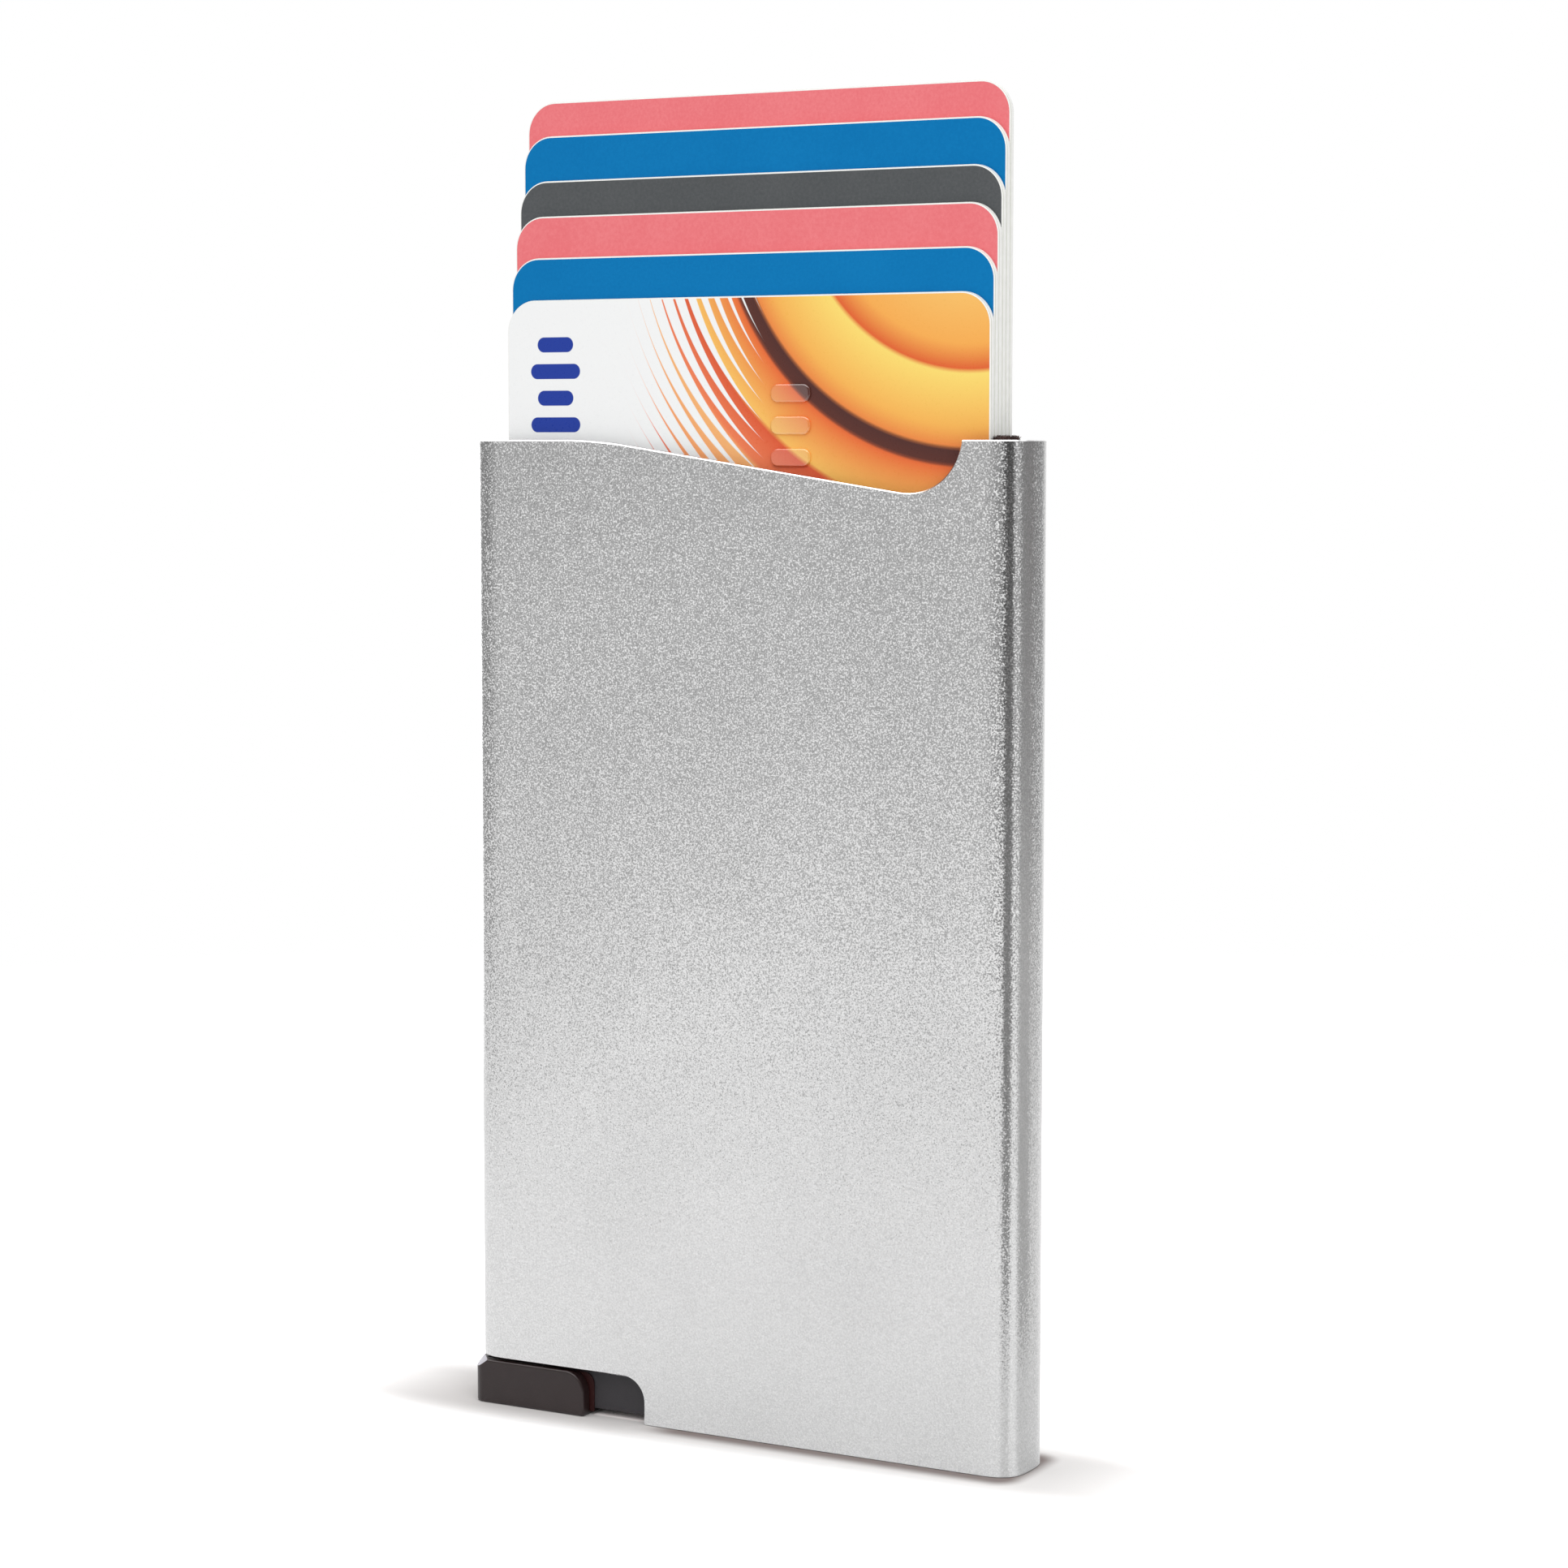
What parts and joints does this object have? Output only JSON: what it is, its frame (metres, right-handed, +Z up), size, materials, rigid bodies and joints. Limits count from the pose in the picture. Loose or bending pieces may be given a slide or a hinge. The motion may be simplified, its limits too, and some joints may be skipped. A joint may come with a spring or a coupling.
{
  "type": "card holder",
  "caption": "Slim aluminium card holder with a slanted thumb cut-out, fanned cards and a corner slider whose stepped lever lifts the cards together.",
  "frame": {"origin": "middle of the bottom face, on the surface the holder stands on", "axes": "+X to the right seen from the front with the thumb cut-out, +Y from front to back, +Z up towards the open end"},
  "size_m": [0.0616, 0.0088, 0.1326],
  "materials": {
    "blasted_aluminium": "bead-blasted satin",
    "insert_plastic": "matte",
    "slider_plastic": "matte warm black",
    "lever_plastic": "matte",
    "steel": "plain",
    "brown_felt": "felt",
    "grey_foam": "foam",
    "card_orange": "satin",
    "card_blue": "satin",
    "card_pink": "satin",
    "card_grey": "satin"
  },
  "bodies": {
    "case": {"case_tube": "blasted_aluminium", "base_insert": "insert_plastic", "pivot_pin": "steel", "left_felt_strip": "brown_felt", "right_felt_strip": "brown_felt", "left_foam_backing": "grey_foam", "right_foam_backing": "grey_foam"},
    "slider": {"slider_cap": "slider_plastic", "drive_tongue": "steel", "drive_pin": "steel"},
    "lever": {"ejector_lever": "lever_plastic"},
    "card_one": {"card_1": "card_orange"},
    "card_two": {"card_2": "card_blue"},
    "card_three": {"card_3": "card_pink"},
    "card_four": {"card_4": "card_grey"},
    "card_five": {"card_5": "card_blue"},
    "card_six": {"card_6": "card_pink"}
  },
  "joints": [
    {"name": "lever_swing", "type": "hinge", "parent": "case", "child": "lever", "pos_m": [-0.0211, 0, 0.0037], "axis": [0, 1, 0], "range_deg": [0, 58.02]},
    {"name": "slider_travel", "type": "slide", "parent": "case", "child": "slider", "axis": [1, 0, 0], "range_m": [0, 0.0066]},
    {"name": "card_one_slide", "type": "slide", "parent": "case", "child": "card_one", "axis": [0, 0, -1], "range_m": [0, 0.01431]},
    {"name": "card_two_slide", "type": "slide", "parent": "case", "child": "card_two", "axis": [0, 0, -1], "range_m": [0, 0.01854]},
    {"name": "card_three_slide", "type": "slide", "parent": "case", "child": "card_three", "axis": [0, 0, -1], "range_m": [0, 0.0227]},
    {"name": "card_four_slide", "type": "slide", "parent": "case", "child": "card_four", "axis": [0, 0, -1], "range_m": [0, 0.02626]},
    {"name": "card_five_slide", "type": "slide", "parent": "case", "child": "card_five", "axis": [0, 0, -1], "range_m": [0, 0.03078]},
    {"name": "card_six_slide", "type": "slide", "parent": "case", "child": "card_six", "axis": [0, 0, -1], "range_m": [0, 0.03422]}
  ],
  "couplings": [
    {"joint": "slider_travel", "follows": "lever_swing", "m_per_rad": 0.0065168},
    {"joint": "card_one_slide", "follows": "lever_swing", "m_per_rad": 0.014134},
    {"joint": "card_two_slide", "follows": "lever_swing", "m_per_rad": 0.018305},
    {"joint": "card_three_slide", "follows": "lever_swing", "m_per_rad": 0.022415},
    {"joint": "card_four_slide", "follows": "lever_swing", "m_per_rad": 0.02593},
    {"joint": "card_five_slide", "follows": "lever_swing", "m_per_rad": 0.030389},
    {"joint": "card_six_slide", "follows": "lever_swing", "m_per_rad": 0.033792}
  ]
}
